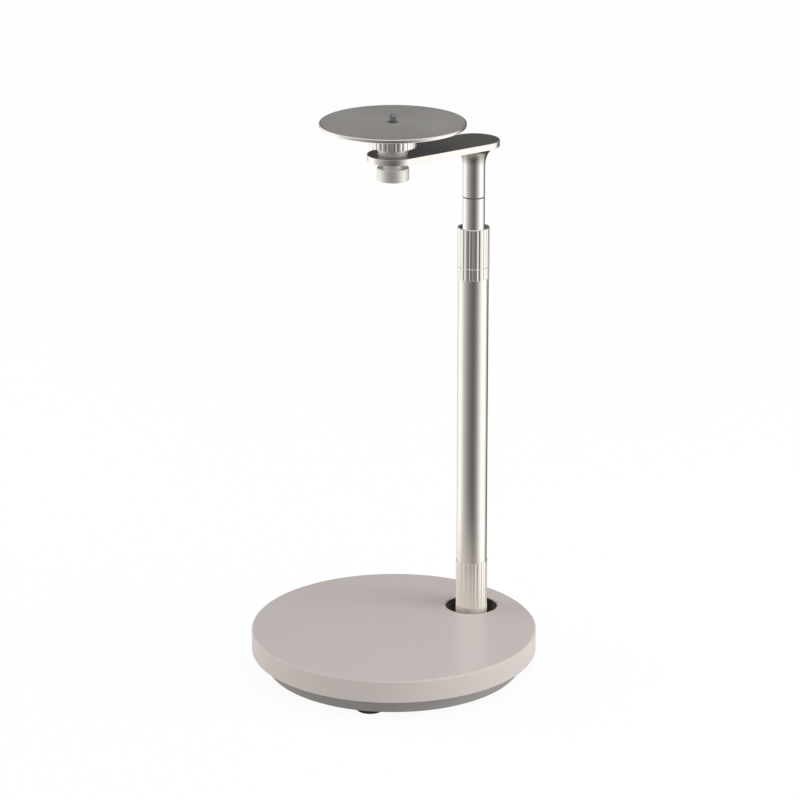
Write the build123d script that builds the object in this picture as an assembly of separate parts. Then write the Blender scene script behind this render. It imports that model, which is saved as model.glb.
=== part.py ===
from build123d import *
import os

# Portable projector stand: a round weighted base, a telescopic column near its back edge,
# an arm that swings on the column and a round tray over the middle of the base.
# Millimetres. The origin is on the floor under the centre of the base, +Z is up and the column is on +Y.

# Fits
running_fit = 0.05        # radial clearance where one piece turns or slides in another
seat_fit = 0.05           # radial clearance where a piece stays as it was put together
face_gap = 0.25           # height between two flat faces that turn on each other
edge_break = 0.4          # chamfer on the edges of the turned pieces

# Base
base_diameter = 250.0
cover_height = 19.8       # upright wall of the cover
cover_wall = 2.0
cover_edge = 1.2          # chamfer round the top of the cover
plinth_inset = 12.5       # step from the cover's wall in to the plinth's wall
plinth_height = 14.3      # wall of the plinth that shows under the cover
plinth_wall = 2.5
plinth_edge = 1.0
shadow_gap = 2.0          # how far the plinth's flange sits up inside the cover
weight_thickness = 8.0
weight_margin = 2.0       # room round the weight inside the plinth
foot_diameter = 24.0
foot_height = 4.4
foot_inset = 16.5         # plinth's wall to the centre of a foot
foot_angle = 48.0         # direction of each foot from the X axis

# Socket that the column stands in
socket_diameter = 45.8
socket_edge = 1.1         # chamfer round the socket's hole in the cover
socket_margin = 1.5       # room between the socket and the plinth's wall
liner_wall = 1.5
liner_floor = 2.0
liner_lip = 0.4           # depth of the liner's rim under the chamfer of the hole
liner_step_width = 3.2
liner_step_depth = 10.5   # ledge inside the liner, under the top of the cover
bolt_diameter = 10.0
bolt_depth = 25.0         # bolt's hold in the column plug
bolt_head_diameter = 19.0
bolt_head_height = 2.8
bolt_key_width = 8.0      # across the flats of the bolt's key
bolt_key_depth = 1.8

# Column
tube_diameter = 26.8
tube_wall = 1.8
tube_length = 261.8
collar_stand = 0.5        # how far the collars stand out from the tube
foot_collar_height = 42.75  # foot collar above the top of the base
foot_collar_band = 1.0    # plain band of the foot collar that shows under its flutes
plug_hold = 20.0          # length of the column plug inside the outer tube
collar_seat_length = 10.5
lock_collar_length = 34.6
flute_count = 20
flute_radius = 1.5
flute_depth = 0.35
bush_wall = 1.9
bush_hold = 20.0          # length of the guide bush inside the outer tube
bush_depth = 3.0          # top of the guide bush under the mouth of the lock collar
bush_slot_count = 4       # slots that let the bush close on the mast
bush_slot_width = 1.2

# Mast that slides in the column
inner_tube_wall = 1.5
mast_showing = 26.75      # inner tube above the lock collar, as it stands
mast_drop = 20.0          # how far the mast goes down from there
mast_stop_room = 6.4      # slide foot over the column plug with the mast down
slide_foot_length = 16.0
slide_foot_floor = 2.0
swivel_pin_diameter = 12.0
swivel_pin_hold = 25.0    # length of the swivel pin inside the inner tube
swivel_pin_reach = 26.0   # length of the swivel pin above the inner tube
swivel_bore_end = 1.0     # room over the end of the swivel pin
washer_thickness = 0.6
washer_set_back = 0.7     # the washer leaves a dark seam round the column

# Swing arm
neck_length = 44.5
arm_width = 44.0
arm_thickness = 5.4
arm_edge = 0.6
arm_rim = 1.0             # bright rim round the inlay
flare_ledge = 0.4         # flat left between the neck's flare and the edge of the arm
inlay_thickness = 0.8
boss_diameter = 25.5
boss_height = 6.6

# Tray
hub_diameter = 40.0
hub_height = 17.4
hub_flute_count = 28
journal_diameter = 14.0
tray_diameter = 124.0
tray_thickness = 3.2
tray_edge = 0.5
tray_rim = 1.0            # rim round the pad
tray_hole_diameter = 7.2
pad_thickness = 1.0
pad_stand = 0.2           # how far the pad stands out of the tray
pad_groove = 0.3          # dark line between the pad and the rim
pad_hole_diameter = 9.0

# Knob and camera screw
screw_diameter = 6.35
screw_showing = 6.0       # screw above the pad
screw_tip = 0.5
shank_diameter = 5.8
knob_diameter = 27.2
knob_height = 10.9
knob_wall = 1.6
knob_gap = 6.0            # knob's top face to the underside of the arm
knob_sink = 0.6           # core under the knob's rim
knob_neck_diameter = 16.0

# Radii that follow from the sizes above
base_radius = base_diameter / 2
plinth_radius = base_radius - plinth_inset
plinth_inside = plinth_radius - plinth_wall
socket_radius = socket_diameter / 2
liner_radius = socket_radius - seat_fit
liner_inside = liner_radius - liner_wall
bolt_radius = bolt_diameter / 2
tube_radius = tube_diameter / 2
tube_inside = tube_radius - tube_wall
collar_radius = tube_radius + collar_stand
plug_radius = tube_inside - seat_fit
bush_inside = plug_radius - bush_wall
mast_radius = bush_inside - running_fit
mast_inside = mast_radius - inner_tube_wall
swivel_radius = swivel_pin_diameter / 2
arm_radius = arm_width / 2
flare_radius = arm_radius - mast_radius - flare_ledge
boss_radius = boss_diameter / 2
journal_radius = journal_diameter / 2
shank_radius = shank_diameter / 2
pad_recess_radius = tray_diameter / 2 - tray_rim
knob_radius = knob_diameter / 2

# Places of the two upright axes
column_offset = plinth_inside - socket_margin - socket_radius
column = Pos(0, column_offset, 0)

# Heights from the floor up
plinth_floor = foot_height + plinth_wall
cover_bottom = foot_height + plinth_height
base_top = cover_bottom + cover_height
cover_ceiling = base_top - cover_wall
weight_top = plinth_floor + weight_thickness
socket_floor = weight_top + liner_floor
tube_bottom = base_top + foot_collar_height
plug_top = tube_bottom + plug_hold
tube_top = tube_bottom + tube_length
seat_top = tube_top + collar_seat_length
lock_bottom = seat_top + face_gap
lock_top = lock_bottom + lock_collar_length
mast_top = lock_top + mast_showing
mast_bottom = plug_top + mast_stop_room + mast_drop + slide_foot_floor
washer_top = mast_top + washer_thickness
neck_bottom = washer_top + face_gap
arm_bottom = neck_bottom + neck_length
arm_top = arm_bottom + arm_thickness
inlay_bottom = arm_top - inlay_thickness
boss_top = arm_top + boss_height
hub_bottom = boss_top + face_gap
tray_bottom = hub_bottom + hub_height
tray_top = tray_bottom + tray_thickness
pad_top = tray_top + pad_stand
pad_bottom = pad_top - pad_thickness
screw_top = pad_top + screw_showing
knob_neck_top = arm_bottom - face_gap
knob_top = arm_bottom - knob_gap
knob_bottom = knob_top - knob_height
knob_floor = knob_bottom + knob_wall


def turned(*outline):
    """Solid of revolution about Z from a closed outline of (radius, height) points."""
    return revolve(Plane.XZ * make_face(Polyline(*outline, close=True)), Axis.Z)


def ring(outer, inner, bottom, top, edge=0.0):
    """Upright ring between two radii, with its outer edges chamfered by edge."""
    if edge:
        outline = [(inner, bottom), (outer - edge, bottom), (outer, bottom + edge),
                   (outer, top - edge), (outer - edge, top), (inner, top)]
    else:
        outline = [(inner, bottom), (outer, bottom), (outer, top), (inner, top)]
    return turned(*outline)


def rod(radius, bottom, top):
    """Plain upright cylinder between two heights."""
    return Pos(0, 0, bottom) * Cylinder(radius, top - bottom, align=(Align.CENTER, Align.CENTER, Align.MIN))


def fluted(solid, crest_radius, count, bottom, top):
    """Cut upright rounded flutes into the outside of a turned piece."""
    flute = rod(flute_radius, bottom, top)
    axis_radius = crest_radius + flute_radius - flute_depth
    return solid - [place * flute for place in PolarLocations(axis_radius, count)]


def arm_outline(margin):
    """Plan of the arm, a slot from the tray's axis to the column's, drawn in by margin."""
    slot = SlotCenterToCenter(column_offset, arm_width - 2 * margin, rotation=90)
    return Pos(0, column_offset / 2) * slot


def base_cover():
    """Painted cover: a shallow cup turned upside down, with the socket's hole through its top."""
    shell = turned((0, base_top), (base_radius - cover_edge, base_top), (base_radius, base_top - cover_edge),
                   (base_radius, cover_bottom + edge_break), (base_radius - edge_break, cover_bottom),
                   (base_radius - cover_wall, cover_bottom), (base_radius - cover_wall, cover_ceiling),
                   (0, cover_ceiling))
    hole = turned((0, cover_ceiling), (socket_radius, cover_ceiling), (socket_radius, base_top - socket_edge),
                  (socket_radius + socket_edge, base_top), (0, base_top))
    return shell - column * hole


def base_plinth():
    """Pan that closes the base from below, with a flange that shuts the gap inside the cover."""
    flange_bottom = cover_bottom + shadow_gap
    flange_top = flange_bottom + plinth_wall
    flange_radius = base_radius - cover_wall - seat_fit
    pan = turned((0, foot_height), (plinth_radius - plinth_edge, foot_height),
                 (plinth_radius, foot_height + plinth_edge), (plinth_radius, flange_bottom),
                 (flange_radius, flange_bottom), (flange_radius, flange_top), (plinth_radius, flange_top),
                 (plinth_radius, cover_ceiling), (plinth_inside, cover_ceiling),
                 (plinth_inside, plinth_floor), (0, plinth_floor))
    return pan - column * rod(bolt_radius + seat_fit, foot_height, plinth_floor)


def base_weight():
    """Iron disc that lies in the plinth and takes the column's bolt."""
    disc = rod(plinth_inside - weight_margin, plinth_floor, weight_top)
    return disc - column * rod(bolt_radius + seat_fit, plinth_floor, weight_top)


def socket_liner():
    """Dark stepped cup under the hole in the cover, where the column stands."""
    step_inside = liner_inside - liner_step_width
    step_top = base_top - liner_step_depth
    rim = base_top - socket_edge - liner_lip
    bolt_hole = bolt_radius + seat_fit
    return column * turned((bolt_hole, weight_top), (liner_radius, weight_top), (liner_radius, rim),
                           (liner_inside, rim), (liner_inside, step_top), (step_inside, step_top),
                           (step_inside, socket_floor), (bolt_hole, socket_floor))


def foot_pads():
    """Four round rubber feet under the plinth."""
    pad = ring(foot_diameter / 2, 0, 0, foot_height, edge_break)
    reach = plinth_radius - foot_inset
    angles = (foot_angle, 180 - foot_angle, 180 + foot_angle, 360 - foot_angle)
    return [Rot(0, 0, angle) * Pos(reach, 0, 0) * pad for angle in angles]


def column_plug():
    """Core that joins the foot collar and the outer tube, with a blind hole for the bolt."""
    plug = rod(plug_radius, socket_floor, plug_top)
    return column * (plug - rod(bolt_radius + seat_fit, socket_floor, socket_floor + bolt_depth))


def column_bolt():
    """Bolt that draws the column down on the base, with a six-sided key in its head."""
    head_bottom = foot_height - bolt_head_height
    head = ring(bolt_head_diameter / 2, 0, head_bottom, foot_height, edge_break)
    shank = rod(bolt_radius, foot_height, socket_floor + bolt_depth)
    key_plan = RegularPolygon(bolt_key_width / 2, 6, major_radius=False)
    key = extrude(Pos(0, 0, head_bottom) * key_plan, bolt_key_depth)
    return column * (head + shank - key)


def foot_collar():
    """Fluted collar between the socket and the outer tube."""
    collar = ring(collar_radius, plug_radius + seat_fit, socket_floor, tube_bottom, edge_break)
    return column * fluted(collar, collar_radius, flute_count, base_top + foot_collar_band, tube_bottom)


def outer_tube():
    """Plain outer tube of the column."""
    return column * ring(tube_radius, tube_inside, tube_bottom, tube_top)


def collar_seat():
    """Fixed fluted ring on the end of the outer tube."""
    seat = ring(collar_radius, plug_radius + seat_fit, tube_top, seat_top, edge_break)
    return column * fluted(seat, collar_radius, flute_count, tube_top, seat_top)


def guide_bush():
    """Dark sleeve in the end of the outer tube, split inside the lock collar to grip the mast."""
    bush_top = lock_top - bush_depth
    sleeve = ring(plug_radius, bush_inside, tube_top - bush_hold, bush_top)
    slot = Pos(0, 0, (seat_top + bush_top) / 2) * Box(2 * bush_wall, bush_slot_width, bush_top - seat_top)
    places = PolarLocations(plug_radius - bush_wall / 2, bush_slot_count)
    return column * (sleeve - [place * slot for place in places])


def lock_collar():
    """Fluted twist collar that locks the mast at its height."""
    collar = ring(collar_radius, plug_radius + running_fit, lock_bottom, lock_top, edge_break)
    return column * fluted(collar, collar_radius, flute_count, lock_bottom, lock_top)


def inner_tube():
    """Slim tube that slides in the column."""
    return column * ring(mast_radius, mast_inside, mast_bottom, mast_top)


def slide_foot():
    """Sleeve on the lower end of the mast that runs in the outer tube."""
    outer = tube_inside - running_fit
    bottom = mast_bottom - slide_foot_floor
    return column * turned((mast_inside, bottom), (outer, bottom), (outer, bottom + slide_foot_length),
                           (mast_radius + seat_fit, bottom + slide_foot_length),
                           (mast_radius + seat_fit, mast_bottom), (mast_inside, mast_bottom))


def swivel_pin():
    """Plug in the top of the mast with the pin that the arm turns on."""
    plug = rod(mast_inside - seat_fit, mast_top - swivel_pin_hold, mast_top)
    return column * (plug + rod(swivel_radius, mast_top, mast_top + swivel_pin_reach))


def swivel_washer():
    """Thin dark washer in the seam between the mast and the arm's neck."""
    return column * ring(mast_radius - washer_set_back, swivel_radius + seat_fit, mast_top, washer_top)


def swing_arm():
    """Casting of the flat arm and the flared neck that turns on the mast."""
    plate = Pos(0, 0, arm_bottom) * extrude(arm_outline(0), arm_thickness)
    rims = plate.edges().group_by(Axis.Z)
    plate = fillet(rims[0] + rims[-1], arm_edge)
    plate -= Pos(0, 0, inlay_bottom) * extrude(arm_outline(arm_rim), inlay_thickness)
    flare_bottom = arm_bottom - flare_radius
    flare_top = (mast_radius + flare_radius, arm_bottom)
    profile = [
        Polyline((mast_radius, flare_bottom), (mast_radius, neck_bottom), (0, neck_bottom),
                 (0, inlay_bottom), (mast_radius, inlay_bottom), flare_top),
        CenterArc((mast_radius + flare_radius, flare_bottom), flare_radius, 90, 90),
    ]
    neck = revolve(Plane.XZ * make_face(profile), Axis.Z)
    bore = rod(swivel_radius + running_fit, neck_bottom, mast_top + swivel_pin_reach + swivel_bore_end)
    journal_bore = rod(journal_radius + running_fit, arm_bottom, arm_top)
    return plate + column * neck - column * bore - journal_bore


def arm_inlay():
    """Dark panel let into the top of the arm, with a hole round the boss."""
    panel = Pos(0, 0, inlay_bottom) * extrude(arm_outline(arm_rim + seat_fit), inlay_thickness)
    return panel - rod(boss_radius + seat_fit, inlay_bottom, arm_top)


def arm_boss():
    """Smooth boss on the end of the arm that the tray's hub turns on."""
    return ring(boss_radius, journal_radius + running_fit, inlay_bottom, boss_top, edge_break)


def tray_hub():
    """Wide fluted hub under the tray, with its journal down through the boss and the arm."""
    hub_radius = hub_diameter / 2
    barrel = fluted(ring(hub_radius, 0, hub_bottom, tray_bottom, edge_break),
                    hub_radius, hub_flute_count, hub_bottom, tray_bottom)
    journal = rod(journal_radius, arm_bottom, hub_bottom)
    return barrel + journal - rod(shank_radius + running_fit, arm_bottom, tray_bottom)


def tray_disc():
    """Thin round tray with a shallow recess for its pad."""
    edge = tray_diameter / 2
    hole = tray_hole_diameter / 2
    return turned((hole, tray_bottom), (edge - tray_edge, tray_bottom), (edge, tray_bottom + tray_edge),
                  (edge, tray_top - tray_edge), (edge - tray_edge, tray_top), (pad_recess_radius, tray_top),
                  (pad_recess_radius, pad_bottom), (hole, pad_bottom))


def tray_pad():
    """Grippy pad in the tray, which the projector rests on."""
    return ring(pad_recess_radius - pad_groove, pad_hole_diameter / 2, pad_bottom, pad_top)


def clamp_knob():
    """Smooth metal cup of the knob under the arm."""
    inside = knob_radius - knob_wall
    return turned((0, knob_bottom), (knob_radius - edge_break, knob_bottom),
                  (knob_radius, knob_bottom + edge_break), (knob_radius, knob_top - edge_break),
                  (knob_radius - edge_break, knob_top), (inside, knob_top), (inside, knob_floor),
                  (0, knob_floor))


def knob_core():
    """Core of the knob, with the neck that bears on the arm and a blind hole for the screw."""
    core_top = knob_top - knob_sink
    neck = knob_neck_diameter / 2
    hole = shank_radius + seat_fit
    core = knob_radius - knob_wall - seat_fit
    hole_floor = knob_floor + knob_wall
    return turned((0, knob_floor), (core, knob_floor), (core, core_top), (neck, core_top),
                  (neck, knob_neck_top), (hole, knob_neck_top), (hole, hole_floor), (0, hole_floor))


def tripod_screw():
    """Captive camera screw: a slim shank from the knob up to the thread that stands on the tray."""
    shank = rod(shank_radius, knob_floor + knob_wall, pad_top)
    thread = screw_diameter / 2
    stud = turned((0, pad_top), (thread, pad_top), (thread, screw_top - screw_tip),
                  (thread - screw_tip, screw_top), (0, screw_top))
    return shank + stud


pieces = {
    "base_cover": base_cover(),
    "base_plinth": base_plinth(),
    "base_weight": base_weight(),
    "socket_liner": socket_liner(),
    "column_plug": column_plug(),
    "column_bolt": column_bolt(),
    "foot_collar": foot_collar(),
    "outer_tube": outer_tube(),
    "collar_seat": collar_seat(),
    "guide_bush": guide_bush(),
    "lock_collar": lock_collar(),
    "inner_tube": inner_tube(),
    "slide_foot": slide_foot(),
    "swivel_pin": swivel_pin(),
    "swivel_washer": swivel_washer(),
    "swing_arm": swing_arm(),
    "arm_inlay": arm_inlay(),
    "arm_boss": arm_boss(),
    "tray_hub": tray_hub(),
    "tray_disc": tray_disc(),
    "tray_pad": tray_pad(),
    "clamp_knob": clamp_knob(),
    "knob_core": knob_core(),
    "tripod_screw": tripod_screw(),
}
for number, pad in enumerate(foot_pads(), start=1):
    pieces[f"foot_pad_{number}"] = pad

os.makedirs("parts", exist_ok=True)
for node, piece in pieces.items():
    export_step(piece, f"parts/{node}.step")
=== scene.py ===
import logging
import math
from collections.abc import Callable, Iterable
from dataclasses import dataclass, field, replace
from enum import Enum
from typing import ClassVar

import bpy
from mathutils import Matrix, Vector


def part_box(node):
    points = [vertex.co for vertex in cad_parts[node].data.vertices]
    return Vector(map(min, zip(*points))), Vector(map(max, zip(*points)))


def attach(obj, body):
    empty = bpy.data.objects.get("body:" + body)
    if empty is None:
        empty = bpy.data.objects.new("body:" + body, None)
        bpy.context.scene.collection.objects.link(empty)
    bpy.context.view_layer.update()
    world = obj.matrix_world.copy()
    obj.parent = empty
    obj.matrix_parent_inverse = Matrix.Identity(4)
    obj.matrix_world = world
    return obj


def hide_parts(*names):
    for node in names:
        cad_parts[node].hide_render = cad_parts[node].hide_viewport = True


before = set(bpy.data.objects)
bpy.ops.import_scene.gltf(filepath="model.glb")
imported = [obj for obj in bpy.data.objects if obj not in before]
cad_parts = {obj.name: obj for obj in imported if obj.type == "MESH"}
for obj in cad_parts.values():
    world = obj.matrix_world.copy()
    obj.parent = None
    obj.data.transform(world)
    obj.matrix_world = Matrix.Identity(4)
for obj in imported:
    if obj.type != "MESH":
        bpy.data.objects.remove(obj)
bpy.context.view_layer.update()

LOG = logging.getLogger("projector_stand")

MM = 0.001
ROUND_STEPS = 160
FINE_STEPS = 2 * ROUND_STEPS
SMALL_STEPS = ROUND_STEPS // 2
MERGE_REACH = 0.000001
SHARP_ANGLE = math.radians(32)
FLAT_ANGLE = math.radians(0.5)
NORMAL_WEIGHT = 80
DRILL_REACH = 4
AXIS_DIGITS = 4
BROAD_GRAIN = 0.06
BROAD_LINE = 0.04
PATCH_RISE = (0.35, 0.7)

Point2 = tuple[float, float]
Outline = list[Point2]
Colour = tuple[float, float, float]


class Slot(Enum):
    """Material slots that the record offers for repainting."""

    COVER_PAINT = "cover_paint"
    PLINTH_PLASTIC = "plinth_plastic"
    WEIGHT_IRON = "weight_iron"
    SATIN_ALLOY = "satin_alloy"
    BRIGHT_ALLOY = "bright_alloy"
    BLACK_PLASTIC = "black_plastic"
    INLAY_DARK = "inlay_dark"
    PAD_GRIP = "pad_grip"
    FOOT_RUBBER = "foot_rubber"
    BOLT_STEEL = "bolt_steel"


class Body(Enum):
    """Moving bodies of the stand."""

    BASE = "base"
    COLLAR = "collar"
    MAST = "mast"
    ARM = "arm"
    TRAY = "tray"
    KNOB = "knob"


class Pick(Enum):
    """Kinds of mesh element that a selection can be made of."""

    VERTS = "VERT"
    FACES = "FACE"


class Joinery(Enum):
    """Ways in which a tool piece acts on another piece."""

    JOIN = "UNION"
    CUT = "DIFFERENCE"
    TRIM = "INTERSECT"


class Shaping(Enum):
    """Modifiers that finish a piece."""

    BEVEL = "BEVEL"
    NORMALS = "WEIGHTED_NORMAL"
    JOINERY = "BOOLEAN"
    SCREW = "SCREW"


@dataclass(frozen=True)
class RoundSpan:
    """Reach of a round CAD node about an upright axis, in metres."""

    axis: Point2
    inner: float
    outer: float
    bottom: float
    top: float

    @property
    def height(self) -> float:
        """Upright size of the node."""
        return self.top - self.bottom


def axis_of(node: str) -> Point2:
    """Find the upright axis through the middle of a round CAD node.

    Args:
        node: Name of the CAD node.

    Returns:
        The axis as X and Y, in metres.
    """
    low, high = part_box(node)
    return round((low[0] + high[0]) / 2, AXIS_DIGITS), round((low[1] + high[1]) / 2, AXIS_DIGITS)


def span_of(node: str, axis: Point2, low: float = -math.inf, high: float = math.inf,
            beyond: float = 0.0) -> RoundSpan:
    """Measure how a round CAD node reaches about an axis.

    Args:
        node: Name of the CAD node.
        axis: X and Y of the upright axis.
        low: Level under which the node isn't measured.
        high: Level over which the node isn't measured.
        beyond: Radius within which the node isn't measured.

    Returns:
        The node's inner and outer radius and its lowest and highest level.
    """
    points = [
        (math.hypot(vertex.co.x - axis[0], vertex.co.y - axis[1]), vertex.co.z)
        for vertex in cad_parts[node].data.vertices if low <= vertex.co.z <= high]
    reach = [radius for radius, height in points if radius >= beyond]
    heights = [height for radius, height in points if radius >= beyond]
    return RoundSpan(axis, min(reach), max(reach), min(heights), max(heights))


def arc(centre: Point2, radius: float, start: float, end: float, steps: int) -> Outline:
    """List the points of a round stretch of an outline.

    Args:
        centre: Middle of the arc as radius and height.
        radius: Radius of the arc.
        start: First angle in degrees.
        end: Last angle in degrees.
        steps: Number of straight steps along the arc.

    Returns:
        The points from the first angle to the last.
    """
    angles = [math.radians(start + (end - start) * step / steps) for step in range(steps + 1)]
    return [(centre[0] + radius * math.cos(a), centre[1] + radius * math.sin(a)) for a in angles]


def deselect_all() -> None:
    """Leave edit mode and drop every selection."""
    active = bpy.context.view_layer.objects.active
    if active is not None and active.mode != "OBJECT":
        bpy.ops.object.mode_set(mode="OBJECT")
    bpy.ops.object.select_all(action="DESELECT")


def take(piece: bpy.types.Object) -> None:
    """Make a piece the only selected and active one.

    Args:
        piece: The piece to work on.
    """
    deselect_all()
    piece.select_set(True)
    bpy.context.view_layer.objects.active = piece


def settle(name: str) -> bpy.types.Object:
    """Name the active piece and move its place into its mesh.

    Args:
        name: Name for the piece and its mesh.

    Returns:
        The piece, in object mode.
    """
    bpy.ops.object.mode_set(mode="OBJECT")
    piece = bpy.context.view_layer.objects.active
    piece.name = name
    piece.data.name = name
    bpy.ops.object.transform_apply(location=True, rotation=True, scale=True)
    return piece


def pick(piece: bpy.types.Object, kind: Pick, wanted: Callable[[Vector], bool]) -> None:
    """Select parts of a piece by place and leave it in edit mode.

    Args:
        piece: The piece to select in.
        kind: Whether vertices or faces are selected.
        wanted: Test of a vertex's place or a face's middle.
    """
    take(piece)
    bpy.ops.object.mode_set(mode="EDIT")
    bpy.ops.mesh.select_mode(type=kind.value)
    bpy.ops.mesh.select_all(action="DESELECT")
    bpy.ops.object.mode_set(mode="OBJECT")
    if kind is Pick.VERTS:
        for vertex in piece.data.vertices:
            vertex.select = wanted(vertex.co)
    else:
        for face in piece.data.polygons:
            face.select = wanted(face.center)
    bpy.ops.object.mode_set(mode="EDIT")


def open_mesh(piece: bpy.types.Object) -> None:
    """Take a piece into edit mode with all of its mesh selected.

    Args:
        piece: The piece.
    """
    take(piece)
    bpy.ops.object.mode_set(mode="EDIT")
    bpy.ops.mesh.select_all(action="SELECT")


def close_skin() -> None:
    """Merge the doubles of the mesh in edit mode and turn its faces outwards."""
    bpy.ops.mesh.select_all(action="SELECT")
    bpy.ops.mesh.remove_doubles(threshold=MERGE_REACH)
    bpy.ops.mesh.normals_make_consistent(inside=False)


def draw(outline: Outline, axis: Point2) -> None:
    """Draw an outline beside an upright axis as a new mesh and leave it selected in edit mode.

    Args:
        outline: Points as radius and height; a closed outline repeats its first point at the end.
        axis: X and Y of the upright axis.
    """
    deselect_all()
    radius, height = outline[0]
    bpy.ops.mesh.primitive_plane_add(size=MM, location=(axis[0] + radius, axis[1], height))
    bpy.ops.object.mode_set(mode="EDIT")
    bpy.ops.mesh.select_mode(type=Pick.VERTS.value)
    bpy.ops.mesh.select_all(action="SELECT")
    bpy.ops.mesh.merge(type="CENTER")
    for (near, low), (far, high) in zip(outline, outline[1:]):
        move = {"value": (far - near, 0, high - low)}
        bpy.ops.mesh.extrude_region_move(TRANSFORM_OT_translate=move)
    bpy.ops.mesh.select_all(action="SELECT")
    bpy.ops.mesh.remove_doubles(threshold=MERGE_REACH)


def lathe(name: str, outline: Outline, axis: Point2, steps: int = ROUND_STEPS) -> bpy.types.Object:
    """Turn an outline once round an upright axis.

    Args:
        name: Name of the new piece.
        outline: Points as radius and height; a ring repeats its first point at the end.
        axis: X and Y of the upright axis.
        steps: Number of facets round the piece.

    Returns:
        The turned piece.
    """
    draw(outline, axis)
    bpy.ops.mesh.spin(steps=steps, angle=math.tau, center=(*axis, 0), axis=(0, 0, 1))
    close_skin()
    return settle(name)


def ring_outline(span: RoundSpan) -> Outline:
    """Give the outline of a plain ring that fills a node's span.

    Args:
        span: Reach of the ring.

    Returns:
        The closed outline.
    """
    return [
        (span.inner, span.bottom), (span.outer, span.bottom),
        (span.outer, span.top), (span.inner, span.top), (span.inner, span.bottom),
    ]


def shape(piece: bpy.types.Object, shaping: Shaping, **settings: object) -> None:
    """Add a modifier to a piece and apply it.

    Args:
        piece: The piece to change.
        shaping: The modifier.
        settings: Values set on the modifier.
    """
    take(piece)
    modifier = piece.modifiers.new(shaping.name.lower(), shaping.value)
    for setting, value in settings.items():
        setattr(modifier, setting, value)
    bpy.ops.object.modifier_apply(modifier=modifier.name)


def round_edges(piece: bpy.types.Object, width: float, segments: int = 3) -> None:
    """Round the sharp edges of a piece and smooth the rest.

    Args:
        piece: The piece to finish.
        width: Width of the rounding, in metres.
        segments: Number of steps across the rounding.
    """
    shape(
        piece, Shaping.BEVEL, width=width, segments=segments, limit_method="ANGLE",
        angle_limit=SHARP_ANGLE, use_clamp_overlap=True,
    )
    smooth(piece)


def smooth(piece: bpy.types.Object) -> None:
    """Shade a piece smooth, with flat faces kept flat.

    Args:
        piece: The piece to shade.
    """
    take(piece)
    bpy.ops.object.shade_smooth_by_angle(angle=SHARP_ANGLE)
    shape(piece, Shaping.NORMALS, keep_sharp=True, weight=NORMAL_WEIGHT)


def combine(piece: bpy.types.Object, tool: bpy.types.Object, joinery: Joinery) -> None:
    """Join, cut or trim a piece with a tool, which is used up.

    Args:
        piece: The piece that stays.
        tool: The piece that acts on it.
        joinery: How the tool acts.
    """
    shape(piece, Shaping.JOINERY, operation=joinery.value, object=tool, solver="EXACT")
    bpy.data.objects.remove(tool, do_unlink=True)


def drill(piece: bpy.types.Object, name: str, axis: Point2, radius: float, level: float,
          thickness: float) -> None:
    """Cut an upright round hole through a plate.

    Args:
        piece: The piece with the plate.
        name: Name of the tool.
        axis: X and Y of the hole's axis.
        radius: Radius of the hole.
        level: Level of the tool's middle.
        thickness: Thickness of the plate.
    """
    deselect_all()
    bpy.ops.mesh.primitive_cylinder_add(
        vertices=SMALL_STEPS, radius=radius, depth=DRILL_REACH * thickness, location=(*axis, level))
    combine(piece, settle(name), Joinery.CUT)


def flatten(piece: bpy.types.Object) -> None:
    """Join the flat fans that turning leaves round an axis into single faces.

    Args:
        piece: The turned piece.
    """
    open_mesh(piece)
    bpy.ops.mesh.dissolve_limited(angle_limit=FLAT_ANGLE)
    bpy.ops.object.mode_set(mode="OBJECT")


def plain_ring(name: str, node: str, axis: Point2, edge: float) -> bpy.types.Object:
    """Model a smooth ring or tube in the place of a CAD node.

    Args:
        name: Name of the new piece.
        node: CAD node that it stands for.
        axis: X and Y of its axis.
        edge: Rounding of its edges.

    Returns:
        The ring.
    """
    ring = lathe(name, ring_outline(span_of(node, axis)), axis)
    round_edges(ring, edge)
    return ring


def twin(piece: bpy.types.Object, name: str, shift: Point2) -> bpy.types.Object:
    """Copy a piece, with a mesh of its own, to another place at the same level.

    Args:
        piece: The piece to copy.
        name: Name of the copy.
        shift: Move in X and Y.

    Returns:
        The copy.
    """
    take(piece)
    bpy.ops.object.duplicate(linked=False)
    bpy.ops.transform.translate(value=(*shift, 0))
    return settle(name)


@dataclass(frozen=True)
class Fluting:
    """Round-bottomed grooves that run down the outside of a grip ring."""

    count: int
    depth: float = 0.35 * MM
    steps: int = 12
    half_width: int = 3

    def phase(self, place: Vector, axis: Point2) -> int:
        """Count the steps from a point to the middle of its groove.

        Args:
            place: The point.
            axis: X and Y of the ring's axis.

        Returns:
            The number of steps, without sign.
        """
        turn = math.atan2(place.y - axis[1], place.x - axis[0]) / math.tau
        step = round(turn * self.count * self.steps) % self.steps
        return min(step, self.steps - step)

    def sink(self, phase: int) -> float:
        """Give the groove's depth at a phase, as a round hollow."""
        return self.depth * (1 - (phase / self.half_width) ** 2)


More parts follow.
